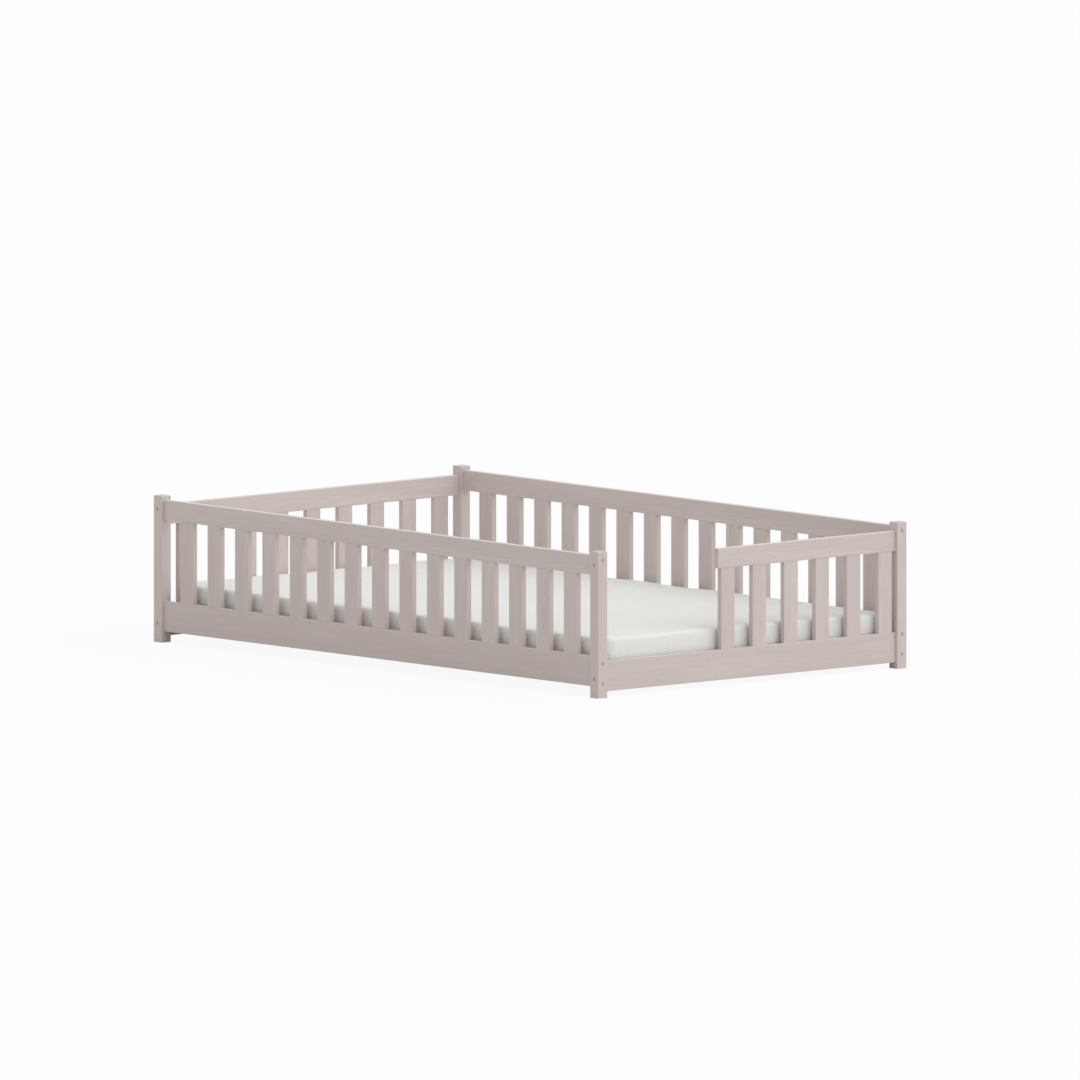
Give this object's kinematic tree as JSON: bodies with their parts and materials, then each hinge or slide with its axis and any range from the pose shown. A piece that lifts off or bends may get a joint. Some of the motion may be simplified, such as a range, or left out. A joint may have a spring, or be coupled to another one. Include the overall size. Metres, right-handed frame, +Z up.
{
  "type": "floor bed",
  "caption": "Low children's floor bed: corner posts, a fence of flat upright slats all round with a climbing gap at the entry end, a slatted base and a lift-out mattress.",
  "frame": {"origin": "on the floor, at the centre of the rectangle of the four posts", "axes": "+X along the long sides towards the entry end, +Y from the front side to the back side, +Z up"},
  "size_m": [2.058, 1.258, 0.451],
  "materials": {
    "stained_pine": "satin",
    "plain_pine": "matte",
    "screw_steel": "satin",
    "cap_plastic": "matte",
    "cover_cloth": "matte",
    "foam": "matte"
  },
  "bodies": {
    "frame": {"back_bottom_rail": "stained_pine", "back_ledger": "plain_pine", "back_slats": "stained_pine", "back_top_rail": "stained_pine", "base_screws": "screw_steel", "base_slats": "plain_pine", "centre_beam": "plain_pine", "centre_feet": "plain_pine", "entry_bottom_rail": "stained_pine", "entry_slat_01": "stained_pine", "entry_slat_02": "stained_pine", "entry_slat_03": "stained_pine", "entry_slat_04": "stained_pine", "entry_slat_05": "stained_pine", "entry_slat_06": "stained_pine", "entry_top_rail": "stained_pine", "front_bottom_rail": "stained_pine", "front_ledger": "plain_pine", "front_slat_01": "stained_pine", "front_slat_02": "stained_pine", "front_slat_03": "stained_pine", "front_slat_04": "stained_pine", "front_slat_05": "stained_pine", "front_slat_06": "stained_pine", "front_slat_07": "stained_pine", "front_slat_08": "stained_pine", "front_slat_09": "stained_pine", "front_slat_10": "stained_pine", "front_slat_11": "stained_pine", "front_slat_12": "stained_pine", "front_slat_13": "stained_pine", "front_slat_14": "stained_pine", "front_slat_15": "stained_pine", "front_top_rail": "stained_pine", "ledger_screws": "screw_steel", "left_bottom_rail": "stained_pine", "left_slat_01": "stained_pine", "left_slat_02": "stained_pine", "left_slat_03": "stained_pine", "left_slat_04": "stained_pine", "left_slat_05": "stained_pine", "left_slat_06": "stained_pine", "left_slat_07": "stained_pine", "left_slat_08": "stained_pine", "left_slat_09": "stained_pine", "left_top_rail": "stained_pine", "post_back_left": "stained_pine", "post_back_right": "stained_pine", "post_front_left": "stained_pine", "post_front_right": "stained_pine", "rail_dowels": "plain_pine", "rail_screws": "screw_steel", "screw_caps": "cap_plastic"},
    "mattress": {"mattress_core": "foam", "mattress_cover": "cover_cloth"}
  },
  "joints": [
    {"name": "mattress_lift", "type": "slide", "parent": "frame", "child": "mattress", "axis": [0, 0, 1], "range_m": [0, 0.45]}
  ]
}
